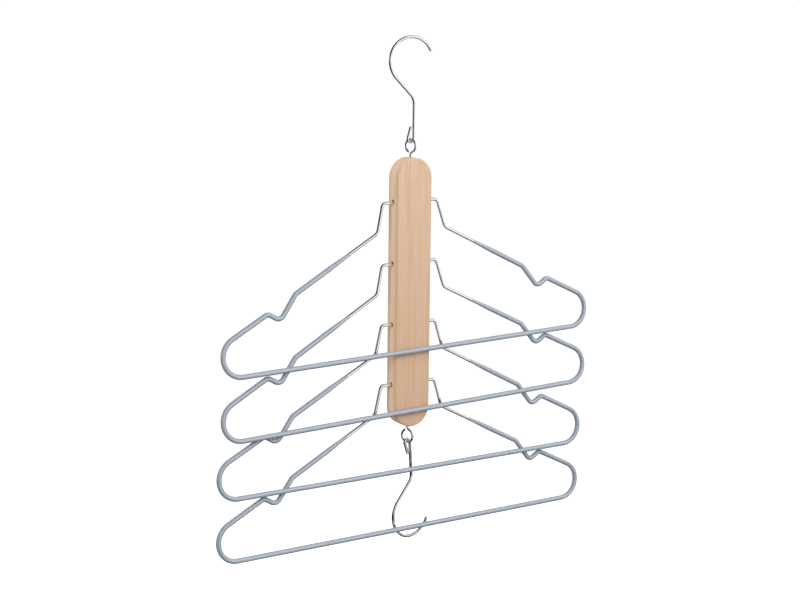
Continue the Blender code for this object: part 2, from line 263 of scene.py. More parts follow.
# Shares of painted light on the sides, of darker end grain, and of painted shade on the edges and rims
SIDE_LIGHT_SHARE = (0.5, 1.0, 0.0, 0.75)
END_SHARE = (0.2, 1.0, 0.0, 0.3)
EDGE_SHADE_SHARE = (0.03, 0.22, 0.0, 0.25)
RIM_SHADE_SHARE = (0.03, 0.22, 0.0, 0.2)
NEAR_EDGE_SHADE_SHARE = (0.001, 0.007, 0.0, 0.35)
DIP_FULLNESS = (0.68, 0.82, 0.0, 1.0)
DIP_METAL = (0.0, 0.7, 0.7, 0.3)
BEECH_ROUGHNESS = (0.3, 0.7, 0.42, 0.58)
CHROME_ROUGHNESS = (0.35, 0.75, 0.05, 0.14)
DIP_ROUGHNESS = (0.3, 0.7, 0.32, 0.42)

# Grain. A stretch is a mark's scale along Z as a share of its scale across the wood
FLECK_SHARE = 0.5
FIBRE_STRETCH = 0.012
STREAK_STRETCH = 0.02
BAND_STRETCH = 0.035
FLECK_STRETCH = 0.14
BEECH_GRAIN = {
    "Fibre Scale": 1500.0,
    "Streak Scale": 520.0,
    "Band Scale": 150.0,
    "Fleck Scale": 480.0,
    "Fleck Size": 0.18,
}

# Gloss and unevenness of each surface, and its bump as (strength, height in metres)
HOLE_ROUGHNESS = 0.8
DIP_GLOSS = {"Specular IOR Level": 1.0, "Coat Weight": 0.5, "Coat Roughness": 0.25}
HOLE_UNEVEN = {"Blotch Scale": 600.0, "Speck Scale": 3000.0, "Speck Share": 0.5}
CHROME_UNEVEN = {"Blotch Scale": 220.0, "Speck Scale": 2600.0, "Speck Share": 0.12}
DIP_UNEVEN = {"Blotch Scale": 90.0, "Speck Scale": 420.0, "Speck Share": 0.4}
BEECH_BUMP = (0.35, 0.00012)
HOLE_BUMP = (0.5, 0.0001)
CHROME_BUMP = (0.08, 0.00005)
DIP_BUMP = (0.05, 0.00006)


# Objects and nodes


def new_object(name, data):
    """A new object in the scene."""
    made = bpy.data.objects.new(name, data)
    bpy.context.scene.collection.objects.link(made)
    return made


def evaluated_mesh(drawn):
    """The mesh that an object has once its modifiers are applied."""
    bpy.context.view_layer.update()
    graph = bpy.context.evaluated_depsgraph_get()
    return bpy.data.meshes.new_from_object(drawn.evaluated_get(graph), depsgraph=graph)


def srgb(colour):
    """A colour from its values of 0 to 255 on a screen."""
    shares = (value / 255 for value in colour)
    return (*(s / 12.92 if s <= 0.04045 else ((s + 0.055) / 1.055) ** 2.4 for s in shares), 1.0)


def put(tree, kind, inputs=None, **settings):
    """Adds a node. An input is given by its name or number, as a value or as another node's output."""
    new = tree.nodes.new(kind)
    for name, value in settings.items():
        setattr(new, name, value)
    for name, value in (inputs or {}).items():
        if isinstance(value, bpy.types.NodeSocket):
            tree.links.new(value, new.inputs[name])
        else:
            new.inputs[name].default_value = value
    return new


def calculated(tree, operation, first, second=0.0):
    """The result of a Math node."""
    return put(tree, "ShaderNodeMath", {0: first, 1: second}, operation=operation).outputs[0]


def ranged(tree, value, low, high, to_low, to_high):
    """A value carried over from the range of low to high to another range, and held at its ends."""
    inputs = {"Value": value, "From Min": low, "From Max": high, "To Min": to_low, "To Max": to_high}
    return put(tree, "ShaderNodeMapRange", inputs).outputs["Result"]


def mixed(tree, factor, first, second):
    """The first colour with a share of the second one."""
    return put(tree, "ShaderNodeMix", {0: factor, 6: first, 7: second}, data_type="RGBA").outputs[2]


def node_group(name, kind, inputs, outputs):
    """A new node group with sockets given as {name: kind}, and the outputs of its input node."""
    tree = bpy.data.node_groups.new(name, kind)
    for direction, sockets in (("INPUT", inputs), ("OUTPUT", outputs)):
        for label, value_kind in sockets.items():
            tree.interface.new_socket(label, in_out=direction, socket_type=f"NodeSocket{value_kind}")
    return tree, tree.nodes.new("NodeGroupInput").outputs


def new_finish(name, values):
    """A new material with values on its shader's sockets, and its node tree and shader."""
    material = bpy.data.materials.new(name)
    material.use_nodes = True
    shader = material.node_tree.nodes["Principled BSDF"]
    for socket, value in values.items():
        shader.inputs[socket].default_value = value
    return material, material.node_tree, shader


# Camera, floor and light


def photo_camera():
    """The photograph's camera, placed by its angles and its distance from the point that it aims at."""
    level = Vector((-sin(CAMERA_TURN), cos(CAMERA_TURN), 0))
    forward = level * cos(CAMERA_RISE) - Vector((0, 0, sin(CAMERA_RISE)))
    across = Vector((cos(CAMERA_TURN), sin(CAMERA_TURN), 0))
    upright = across.cross(forward)
    right = across * cos(CAMERA_ROLL) + upright * sin(CAMERA_ROLL)
    up = upright * cos(CAMERA_ROLL) - across * sin(CAMERA_ROLL)
    place = CAMERA_AIM - forward * CAMERA_DISTANCE - right * CAMERA_SIDEWAYS - up * CAMERA_UPWARDS
    data = bpy.data.cameras.new("camera")
    data.lens = CAMERA_LENS
    data.sensor_width = CAMERA_SENSOR
    data.shift_y = CAMERA_SHIFT
    data.clip_start = CAMERA_NEAR
    camera = new_object("camera", data)
    turn = Matrix((right, up, -forward)).transposed()
    camera.matrix_world = Matrix.Translation(place) @ turn.to_4x4()
    bpy.context.scene.camera = camera
    bpy.context.scene.view_settings.view_transform = "Standard"


def background_rays(tree):
    """1 for the rays that should see plain white: those of the camera, of metal and of glass."""
    path = put(tree, "ShaderNodeLightPath").outputs
    seen = calculated(tree, "MAXIMUM", path["Is Camera Ray"], path["Is Glossy Ray"])
    return calculated(tree, "MAXIMUM", seen, path["Is Transmission Ray"])


def white_world():
    """A world that looks white but lights the wood and the coats only dimly."""
    world = bpy.data.worlds.new("white_room")
    world.use_nodes = True
    bpy.context.scene.world = world
    tree = world.node_tree
    shader = tree.nodes["Background"]
    shader.inputs["Color"].default_value = WHITE
    strength = ranged(tree, background_rays(tree), 0.0, 1.0, WORLD_LIGHT, WORLD_WHITE)
    tree.links.new(strength, shader.inputs["Strength"])


def white_floor():
    """A grey floor that looks white, so that it lights the object from below only softly."""
    values = {
        "Base Color": (FLOOR_GREY, FLOOR_GREY, FLOOR_GREY, 1),
        "Roughness": FLOOR_ROUGHNESS,
        "Specular IOR Level": 0.0,
        "Emission Color": WHITE,
    }
    material, tree, shader = new_finish("white_floor", values)
    glow = calculated(tree, "MULTIPLY", background_rays(tree), FLOOR_GLOW)
    tree.links.new(glow, shader.inputs["Emission Strength"])
    bpy.ops.mesh.primitive_plane_add(size=FLOOR_SIZE, location=(0, 0, FLOOR_Z))
    floor = bpy.context.object
    floor.name = "floor"
    floor.data.materials.append(material)


def soft_light(name, place, aim, size, power):
    """A broad lamp that lights the wood and the coats and isn't mirrored in the chrome."""
    data = bpy.data.lights.new(name, "AREA")
    data.shape = "RECTANGLE"
    data.size, data.size_y = size
    data.energy = power
    lamp = new_object(name, data)
    lamp.location = place
    lamp.rotation_euler = (Vector(aim) - Vector(place)).to_track_quat("-Z", "Y").to_euler()
    lamp.visible_glossy = False


def screen_finish(name, brightness):
    """A shade of grey that no lamp changes."""
    values = {
        "Base Color": BLACK,
        "Specular IOR Level": 0.0,
        "Emission Color": WHITE,
        "Emission Strength": brightness,
    }
    return new_finish(name, values)[0]


def dark_screen(name, material, start, end, profile):
    """A curved screen that only shiny surfaces see, as stands round shiny goods to draw their edges."""
    count = ceil((end - start) / SCREEN_STEP)
    bearings = [radians(start + (end - start) * i / count) for i in range(count + 1)]
    points = [(radius * sin(b), radius * cos(b), z) for radius, z in profile for b in bearings]
    row = count + 1
    corners = [level * row + i for level in range(len(profile) - 1) for i in range(count)]
    mesh = bpy.data.meshes.new(name)
    mesh.from_pydata(points, [], [(c, c + 1, c + row + 1, c + row) for c in corners])
    mesh.materials.append(material)
    screen = new_object(name, mesh)
    screen.visible_camera = False
    screen.visible_diffuse = False
    screen.visible_shadow = False
    screen.visible_transmission = False


# Lines of the wires, in the XZ plane


def arc(centre, radius, start, end, step):
    """Points on an arc, both ends included, from one angle to another."""
    count = max(1, ceil(abs(end - start) / step))
    angles = [start + (end - start) * i / count for i in range(count + 1)]
    return [(centre[0] + radius * cos(a), centre[1] + radius * sin(a)) for a in angles]


def rounded_corner(before, corner, after, radius):
    """The arc that rounds a corner between two straight legs."""
    into = atan2(corner[1] - before[1], corner[0] - before[0])
    out = atan2(after[1] - corner[1], after[0] - corner[0])
    turn = (out - into + pi) % (2 * pi) - pi
    side = 1 if turn > 0 else -1
    back = radius * tan(abs(turn) / 2)
    first = (corner[0] - back * cos(into), corner[1] - back * sin(into))
    centre = (first[0] - side * radius * sin(into), first[1] + side * radius * cos(into))
    start = into - side * pi / 2
    return arc(centre, radius, start, start + turn, BEND_STEP)


def rounded_path(start, corners, end):
    """Points from start to end past corners given as (x, z, bend radius)."""
    stops = [start] + [corner[:2] for corner in corners] + [end]
    points = [start]
    for i, corner in enumerate(corners):
        points += rounded_corner(stops[i], stops[i + 1], stops[i + 2], corner[2])
    return points + [end]


def filled(points, step=RUN_STEP):
    """The same line with points added along its straight runs, and doubled points left out."""
    line = [points[0]]
    for x, z in points[1:]:
        x0, z0 = line[-1]
        gap = hypot(x - x0, z - z0)
        if gap < SAME_POINT:
            continue
        count = max(1, ceil(gap / step))
        line += [(x0 + (x - x0) * i / count, z0 + (z - z0) * i / count) for i in range(1, count + 1)]
    return line


def cut_end(points):
    """A line with extra points that soften the edge of its first end, and its shares of the radius."""
    (x0, z0), (x1, z1) = points[:2]
    length = hypot(x1 - x0, z1 - z0)
    way = ((x1 - x0) / length, (z1 - z0) / length)
    ends = [(x0 + way[0] * CUT_EDGE * share, z0 + way[1] * CUT_EDGE * share) for share, _ in EDGE_SHARES]
    return ends + points[1:], [radius for _, radius in EDGE_SHARES] + [1.0] * (len(points) - 1)


def cut_ends(points):
    """A line whose two ends are cut square with softened edges, and its shares of the radius."""
    points, shares = cut_end(points)
    points, last = cut_end(points[::-1])
    shares += [1.0] * (len(last) - len(shares))
    return points[::-1], [min(a, b) for a, b in zip(shares, last[::-1])]


def outer_half(start, first_corners):
    """Right half of a hanger's line, from start past the notch and round the end to the bottom rail."""
    notch = (NOTCH_START_X + NOTCH_WIDTH, -NOTCH_START_DROP - NOTCH_DEPTH)
    lip = (notch[0] + LIP_WIDTH, notch[1] + LIP_RISE)
    centre = (RAIL_HALF_WIDTH - END_RADIUS, END_RADIUS - RAIL_DROP)
    away = hypot(centre[0] - lip[0], centre[1] - lip[1])
    slope = atan2(centre[1] - lip[1], centre[0] - lip[0]) + asin(END_RADIUS / away)
    end = arc(centre, END_RADIUS, slope + pi / 2, -pi / 2, BEND_STEP)
    bends = [(*corner, NOTCH_BEND_RADIUS) for corner in (NOTCH_START, notch, lip)]
    return rounded_path(start, first_corners + bends, end[0])[:-1] + end


def mirrored(half):
    """The whole line: the right half, then its mirror image back to the left start."""
    return half + [(-x, z) for x, z in reversed(half)]


def shoulder_point(x):
    """The place on the inner shoulder, between the neck and the notch, that lies at x."""
    share = (x - NECK[0]) / (NOTCH_START[0] - NECK[0])
    return (x, NECK[1] + share * (NOTCH_START[1] - NECK[1]))


def hanger_line():
    """A hanger's whole line, from the stub in the right hole round to the one in the left."""
    stub_end = (BAR_HALF_WIDTH - STUB_DEPTH, 0)
    stub_bend = (BAR_HALF_WIDTH + STUB_REACH, 0, STUB_BEND_RADIUS)
    return filled(mirrored(outer_half(stub_end, [stub_bend, (*NECK, NECK_BEND_RADIUS)])))


def coat_line():
    """The coated stretch of a hanger's line, with the coat's share of cover at each point."""
    line = filled(mirrored(outer_half(shoulder_point(COAT_START_X), [])), RUN_STEP / 2)
    cover = []
    for x, z in line:
        on_shoulder = z > -NOTCH_START_DROP
        share = (abs(x) - COAT_START_X) / (COAT_FULL_X - COAT_START_X) if on_shoulder else 1.0
        share = min(max(share, 0.0), 1.0)
        cover.append(share * share * (3 - 2 * share))
    return line, cover


def hook_line():
    """From the eye's tail round the narrow eye, up the stem and over the bowl to the tip."""
    eye = (0, HOOK_EYE_RADIUS - LINK_OFFSET)
    bowl = (0, BOWL_HEIGHT)
    touch = HOOK_EYE_RADIUS - 2 * HOOK_WIRE_RADIUS - LINK_CLEARANCE
    tail = (touch, eye[1] + HOOK_TAIL_LENGTH)
    reach = hypot(tail[0], tail[1] - eye[1])
    tangent = atan2(tail[1] - eye[1], tail[0]) + pi - asin(HOOK_EYE_RADIUS / reach) - pi / 2
    loop = arc(eye, HOOK_EYE_RADIUS, tangent, 2 * pi, BEND_STEP)
    lean = radians(HOOK_NECK_ANGLE)
    join = (bowl[0] - HOOK_BOWL_RADIUS * cos(lean), bowl[1] - HOOK_BOWL_RADIUS * sin(lean))
    rise = (join[0] - HOOK_EYE_RADIUS) * tan(pi / 2 - lean)
    neck = (HOOK_EYE_RADIUS, join[1] + rise)
    bend = rounded_corner(loop[-1], neck, join, HOOK_NECK_BEND_RADIUS)
    sweep = arc(bowl, HOOK_BOWL_RADIUS, pi + lean, radians(HOOK_TIP_ANGLE), BOWL_STEP)
    return [tail] + loop + bend + sweep


def plumb_lean(points):
    """The turn at which a hook that hangs from its eye has its weight below it."""
    weight = moment_x = moment_z = 0
    for (x0, z0), (x1, z1) in zip(points, points[1:]):
        length = hypot(x1 - x0, z1 - z0)
        weight += length
        moment_x += length * (x0 + x1) / 2
        moment_z += length * (z0 + z1) / 2
    return atan2(moment_x / weight, moment_z / weight)


def screw_eye_line():
    """Shank up from its point, a small bend sideways, then the ring round to a free end by the neck."""
    centre = (0, EYE_STEM + EYE_RING_RADIUS)
    join = radians(EYE_JOIN_ANGLE)
    ring = arc(centre, EYE_RING_RADIUS, join, radians(EYE_END_ANGLE), BEND_STEP)
    neck = (0, centre[1] + EYE_RING_RADIUS * (sin(join) + cos(join) / tan(join)))
    point = (0, -EYE_SHANK_LENGTH)
    full = (0, EYE_POINT_LENGTH - EYE_SHANK_LENGTH)
    bend = rounded_corner(full, neck, ring[0], EYE_BEND_RADIUS)
    taper = filled([point, full], THREAD_PITCH / THREAD_STEPS)
    shank = filled([full, bend[0]], THREAD_PITCH / THREAD_STEPS)
    line = taper + shank[1:] + bend[1:-1] + ring
    shares = [EYE_POINT_SHARE + (1 - EYE_POINT_SHARE) * i / (len(taper) - 1) for i in range(len(taper))]
    back, end_shares = cut_end(line[::-1])
    shares += [1.0] * (len(back) - len(shares))
    return back[::-1], [min(a, b) for a, b in zip(shares, end_shares[::-1])]


# Wires as swept tubes


def wire_tree():
    """Sweeps a round wire along a curve, with a screw thread at its start or a gently uneven surface."""
    inputs = {
        "Line": "Geometry",
        "Wire Radius": "Float",
        "Sides": "Int",
        "Closed Ends": "Bool",
        "Thread Pitch": "Float",
        "Thread Depth": "Float",
        "Thread Length": "Float",
        "Unevenness": "Float",
        "Uneven Size": "Float",
        "Finish": "Material",
    }
    tree, given = node_group("round_wire", "GeometryNodeTree", inputs, {"Wire": "Geometry"})

    def kept(geometry, values):
        """Keeps values of a curve's points for the surface that is swept from it."""
        capture = tree.nodes.new("GeometryNodeCaptureAttribute")
        tree.links.new(geometry, capture.inputs[0])
        for name, value in values.items():
            capture.capture_items.new("FLOAT", name)
            tree.links.new(value, capture.inputs[name])
        return capture.outputs

    way = put(tree, "GeometryNodeSplineParameter").outputs
    share = put(tree, "GeometryNodeInputRadius").outputs[0]
    line = kept(given["Line"], {"Along": way["Length"], "Cover": share})
    size = {"Resolution": given["Sides"], "Radius": given["Wire Radius"]}
    circle = put(tree, "GeometryNodeCurvePrimitiveCircle", size)
    ring = kept(circle.outputs["Curve"], {"Around": way["Factor"]})
    sweep = {
        "Curve": line[0],
        "Profile Curve": ring[0],
        "Scale": line["Cover"],
        "Fill Caps": given["Closed Ends"],
    }
    wire = put(tree, "GeometryNodeCurveToMesh", sweep).outputs[0]

    turns = calculated(tree, "DIVIDE", line["Along"], given["Thread Pitch"])
    turns = calculated(tree, "SUBTRACT", turns, ring["Around"])
    crest = calculated(tree, "SUBTRACT", calculated(tree, "FRACT", turns), 0.5)
    crest = calculated(tree, "MULTIPLY", calculated(tree, "ABSOLUTE", crest), 2.0)
    fade = calculated(tree, "SUBTRACT", given["Thread Length"], given["Thread Pitch"])
    runout = ranged(tree, line["Along"], fade, given["Thread Length"], 1.0, 0.0)
    groove = calculated(tree, "MULTIPLY", crest, runout)
    groove = calculated(tree, "MULTIPLY", groove, given["Thread Depth"])

    scale = calculated(tree, "DIVIDE", 1.0, given["Uneven Size"])
    noise = put(tree, "ShaderNodeTexNoise", {"Scale": scale, "Detail": 1.0}).outputs[0]
    swell = calculated(tree, "SUBTRACT", noise, 0.5)
    swell = calculated(tree, "MULTIPLY", swell, given["Unevenness"])
    swell = calculated(tree, "MULTIPLY", swell, line["Cover"])

    outwards = put(tree, "GeometryNodeInputNormal").outputs[0]
    rise = {0: outwards, "Scale": calculated(tree, "SUBTRACT", swell, groove)}
    offset = put(tree, "ShaderNodeVectorMath", rise, operation="SCALE").outputs[0]
    wire = put(tree, "GeometryNodeSetPosition", {"Geometry": wire, "Offset": offset}).outputs[0]
    cover = {"Geometry": wire, "Name": "cover", "Value": line["Cover"]}
    wire = put(tree, "GeometryNodeStoreNamedAttribute", cover).outputs[0]
    wire = put(tree, "GeometryNodeSetShadeSmooth", {0: wire}).outputs[0]
    wire = put(tree, "GeometryNodeRealizeInstances", {0: wire}).outputs[0]
    finish = {"Geometry": wire, "Material": given["Finish"]}
    wire = put(tree, "GeometryNodeSetMaterial", finish).outputs[0]
    put(tree, "NodeGroupOutput", {0: wire})
    return tree


def swept_mesh(name, points, shares, **settings):
    """The mesh of a wire along points in the XZ plane; shares scale its radius at each point."""
    curve = bpy.data.curves.new(name, "CURVE")
    curve.dimensions = "3D"
    spline = curve.splines.new("POLY")
    spline.points.add(len(points) - 1)
    for point, (x, z), share in zip(spline.points, points, shares):
        point.co = (x, 0, z, 1)
        point.radius = share
    drawn = new_object(name, curve)
    modifier = drawn.modifiers.new("round_wire", "NODES")
    modifier.node_group = WIRE_TREE
    # A pitch and a size of 1 only keep a wire that has no thread or unevenness from a division by zero
    given = {"sides": WIRE_SIDES, "closed_ends": True, "thread_pitch": 1.0, "uneven_size": 1.0}
    given.update(settings)
    for socket in WIRE_TREE.interface.items_tree:
        value = given.get(socket.name.replace(" ", "_").lower())
        if value is not None:
            modifier[socket.identifier] = value
    mesh = evaluated_mesh(drawn)
    mesh.name = name
    drawn.modifiers.remove(modifier)
    bpy.data.objects.remove(drawn, do_unlink=True)
    bpy.data.curves.remove(curve)
    return mesh


def finish_mesh(mesh):
    """Welds doubles, points every face outwards and keeps cut edges crisp."""
    shape = bmesh.new()
    shape.from_mesh(mesh)
    bmesh.ops.remove_doubles(shape, verts=shape.verts, dist=SAME_POINT)
    bmesh.ops.recalc_face_normals(shape, faces=shape.faces)
    shape.to_mesh(mesh)
    shape.free()
    mesh.set_sharp_from_angle(angle=SMOOTH_ANGLE)


def wire_mesh(name, line, radius, material, **thread):
    """A bare wire along a line of points and shares of its radius."""
    points, shares = line
    mesh = swept_mesh(name, points, shares, wire_radius=radius, finish=material, **thread)
    finish_mesh(mesh)
    return mesh


def sleeve_mesh(name, points, cover, material):
    """A hollow coat that thins to a feather edge at both of its ends."""
    inner = WIRE_RADIUS + COAT_FIT
    thin = inner + COAT_FEATHER
    outside = [(thin + (COAT_RADIUS - thin) * share) / COAT_RADIUS for share in cover]
    common = {"closed_ends": False, "finish": material}
    uneven = {"unevenness": COAT_UNEVENNESS, "uneven_size": COAT_UNEVEN_SIZE}
    outer = swept_mesh(name, points, outside, wire_radius=COAT_RADIUS, **uneven, **common)
    bore = swept_mesh(f"{name}_bore", points, [1.0] * len(points), wire_radius=inner, **common)
    shape = bmesh.new()
    shape.from_mesh(outer)
    outside_count = len(shape.faces)
    shape.from_mesh(bore)
    shape.faces.ensure_lookup_table()
    bmesh.ops.reverse_faces(shape, faces=shape.faces[outside_count:])
    rims = [edge for edge in shape.edges if edge.is_boundary]
    for side in (-1, 1):
        bmesh.ops.bridge_loops(shape, edges=[e for e in rims if e.verts[0].co.x * side > 0])
    shape.to_mesh(outer)
    shape.free()
    bpy.data.meshes.remove(bore)
    finish_mesh(outer)
    return outer


# Wooden bar


def closed_mesh(name, shape, material):
    """The mesh of a closed shape with its faces turned outwards."""
    bmesh.ops.recalc_face_normals(shape, faces=shape.faces)
    mesh = bpy.data.meshes.new(name)
    shape.to_mesh(mesh)
    shape.free()
    mesh.materials.append(material)
    return mesh


def bar_loop(inset, y):
    """The bar's round-ended outline, drawn in by inset, at depth y."""
    radius = BAR_HALF_WIDTH - inset
    straight = BAR_LENGTH / 2 - BAR_HALF_WIDTH
    top = arc((0, BAR_MIDDLE_Z + straight), radius, 0, pi, OUTLINE_STEP)
    bottom = arc((0, BAR_MIDDLE_Z - straight), radius, pi, 2 * pi, OUTLINE_STEP)
    return [(x, y, z) for x, z in top + bottom]


def bar_blank(material):
    """The bar before it is drilled: two flat faces joined by rounded edges."""
    loops = []
    for side in (-1, 1):
        steps = range(EDGE_STEPS + 1) if side < 0 else range(EDGE_STEPS, -1, -1)
        for i in steps:
            angle = pi / 2 * i / EDGE_STEPS
            inset = BAR_EDGE_RADIUS * (1 - sin(angle))
            y = side * (BAR_THICKNESS / 2 - BAR_EDGE_RADIUS * (1 - cos(angle)))
            loops.append(bar_loop(inset, y))
    shape = bmesh.new()
    rings = [[shape.verts.new(point) for point in loop] for loop in loops]
    for near, far in zip(rings, rings[1:]):
        for i in range(len(near)):
            shape.faces.new((near[i - 1], near[i], far[i], far[i - 1]))
    shape.faces.new(rings[0])
    shape.faces.new(rings[-1][::-1])
    return closed_mesh("bar_blank", shape, material)


def drill_mesh(name, radius, depth, material):
    """A drill along +X: cone, body, and a flare that softens the hole's mouth at x = 0."""
    point = radius / tan(DRILL_HALF_ANGLE)
    flare = radius + HOLE_MOUTH
    profile = [(-depth - point, 0), (-depth, radius), (-HOLE_MOUTH, radius)]
    profile += [(0, flare), (DRILL_OVERHANG, flare), (DRILL_OVERHANG, 0)]
    shape = bmesh.new()
    rows = []
    for x, r in profile:
        angles = [2 * pi * i / HOLE_SIDES for i in range(HOLE_SIDES if r else 1)]
        rows.append([shape.verts.new((x, r * cos(angle), r * sin(angle))) for angle in angles])
    for a, b in zip(rows, rows[1:]):
        for i in range(HOLE_SIDES):
            near = [a[i - 1], a[i]] if len(a) > 1 else a
            far = [b[i], b[i - 1]] if len(b) > 1 else b
            shape.faces.new(near + far)
    return closed_mesh(name, shape, material)


def hanger_pivot_z(index):
    """Height of a hanger's holes, counted from the top hanger as 0."""
    return BAR_MIDDLE_Z + HANGER_PITCH * ((HANGER_COUNT - 1) / 2 - index)


def drilled_bar(material, hole_material):
    """The bar with the hangers' blind holes in its sides and the screw eyes' pilot holes in its ends."""
    bar = new_object("bar_blank", bar_blank(material))
    drills = bpy.data.collections.new("drills")
    bpy.context.scene.collection.children.link(drills)
    side_drill = drill_mesh("hanger_drill", HOLE_RADIUS, STUB_DEPTH + HOLE_END_CLEARANCE, hole_material)
    pilot_radius = EYE_WIRE_RADIUS + PILOT_CLEARANCE
    pilot = drill_mesh("pilot_drill", pilot_radius, EYE_SHANK_LENGTH + HOLE_END_CLEARANCE, hole_material)
    places = [
        (pilot, Matrix.Translation((0, 0, BAR_TOP_Z)) @ Matrix.Rotation(-pi / 2, 4, "Y")),
        (pilot, Matrix.Translation((0, 0, BAR_BOTTOM_Z)) @ Matrix.Rotation(pi / 2, 4, "Y")),
    ]
    for index in range(HANGER_COUNT):
        for side in (-1, 1):
            mouth = Matrix.Translation((side * BAR_HALF_WIDTH, 0, hanger_pivot_z(index)))
            places.append((side_drill, mouth @ Matrix.Rotation(0 if side > 0 else pi, 4, "Z")))
    for i, (mesh, place) in enumerate(places):
        tool = bpy.data.objects.new(f"drill_{i}", mesh)
        tool.matrix_world = place
        drills.objects.link(tool)
    bore = bar.modifiers.new("drilled_holes", "BOOLEAN")
    bore.operation = "DIFFERENCE"
    bore.solver = "EXACT"
    bore.operand_type = "COLLECTION"
    bore.collection = drills
    bore.material_mode = "TRANSFER"
    mesh = evaluated_mesh(bar)
    for used in [*drills.objects, bar]:
        bpy.data.objects.remove(used, do_unlink=True)
    bpy.data.collections.remove(drills)
    return shaded_bar(mesh)


def shaded_bar(mesh):
    """The same mesh with its flat faces shaded flat and its rounded edges round."""
    mesh.shade_smooth()
    mesh.set_sharp_from_angle(angle=SMOOTH_ANGLE)
    bar = new_object("bar_shaded", mesh)
    weighted = bar.modifiers.new("flat_faces", "WEIGHTED_NORMAL")
    weighted.keep_sharp = True
    shaded = evaluated_mesh(bar)
    bpy.data.objects.remove(bar, do_unlink=True)
    return shaded


# Finishes


def fine_unevenness():
    """Soft blotches and fine specks of a worked surface, as two masks and a height."""
    inputs = {
        "Position": "Vector",
        "Blotch Scale": "Float",
        "Speck Scale": "Float",
        "Speck Share": "Float",
    }
    outputs = {"Blotches": "Float", "Specks": "Float", "Height": "Float"}
    tree, given = node_group("fine_unevenness", "ShaderNodeTree", inputs, outputs)

    def noise(scale, detail):
        """Noise at a scale that the group is given by name."""
        values = {"Vector": given["Position"], "Scale": given[scale], "Detail": detail}
        return put(tree, "ShaderNodeTexNoise", values).outputs[0]

    blotches = noise("Blotch Scale", 2.0)
    specks = noise("Speck Scale", 3.0)
    layers = {0: given["Speck Share"], 2: blotches, 3: specks}
    height = put(tree, "ShaderNodeMix", layers, data_type="FLOAT").outputs[0]
    put(tree, "NodeGroupOutput", {"Blotches": blotches, "Specks": specks, "Height": height})
    return tree


def beech_grain():
    """Fibre streaks, broad bands and short ray flecks that run along Z."""
    inputs = {
        "Position": "Vector",
        "Fibre Scale": "Float",
        "Streak Scale": "Float",
        "Band Scale": "Float",
        "Fleck Scale": "Float",
        "Fleck Size": "Float",
    }
    masks = ("Fibres", "Streaks", "Bands", "Flecks", "Height")
    tree, given = node_group("beech_grain", "ShaderNodeTree", inputs, dict.fromkeys(masks, "Float"))

    def stretched(share):
        """The position, drawn out along Z."""
        values = {"Vector": given["Position"], "Scale": (1, 1, share)}
        return put(tree, "ShaderNodeMapping", values).outputs[0]

    def streaky(share, scale, **detail):
        """Noise that is drawn out along Z."""
        values = {"Vector": stretched(share), "Scale": given[scale], **detail}
        return put(tree, "ShaderNodeTexNoise", values).outputs[0]

    fibres = streaky(FIBRE_STRETCH, "Fibre Scale", Detail=5.0, Roughness=0.7)
    streaks = streaky(STREAK_STRETCH, "Streak Scale", Detail=2.0)
    bands = streaky(BAND_STRETCH, "Band Scale", Detail=2.0)
    cell_size = {"Vector": stretched(FLECK_STRETCH), "Scale": given["Fleck Scale"]}
    cells = put(tree, "ShaderNodeTexVoronoi", cell_size).outputs["Distance"]
    flecks = ranged(tree, cells, 0.0, given["Fleck Size"], 1.0, 0.0)
    height = calculated(tree, "SUBTRACT", fibres, flecks)
    put(tree, "NodeGroupOutput", dict(zip(masks, (fibres, streaks, bands, flecks, height))))
    return tree


def grouped(tree, group, values):
    """The outputs of a node group over the surface, with a material's own values."""
    position = put(tree, "ShaderNodeTexCoord").outputs["Object"]
    return put(tree, "ShaderNodeGroup", {"Position": position, **values}, node_tree=group).outputs


def dressed(tree, shader, sockets, height, bump):
    """Links the shader's sockets, given by name, and a height with its bump of (strength, height)."""
    strength, distance = bump
    bumped = put(tree, "ShaderNodeBump", {"Strength": strength, "Distance": distance, "Height": height})
    for name, value in {**sockets, "Normal": bumped.outputs[0]}.items():
        tree.links.new(value, shader.inputs[name])


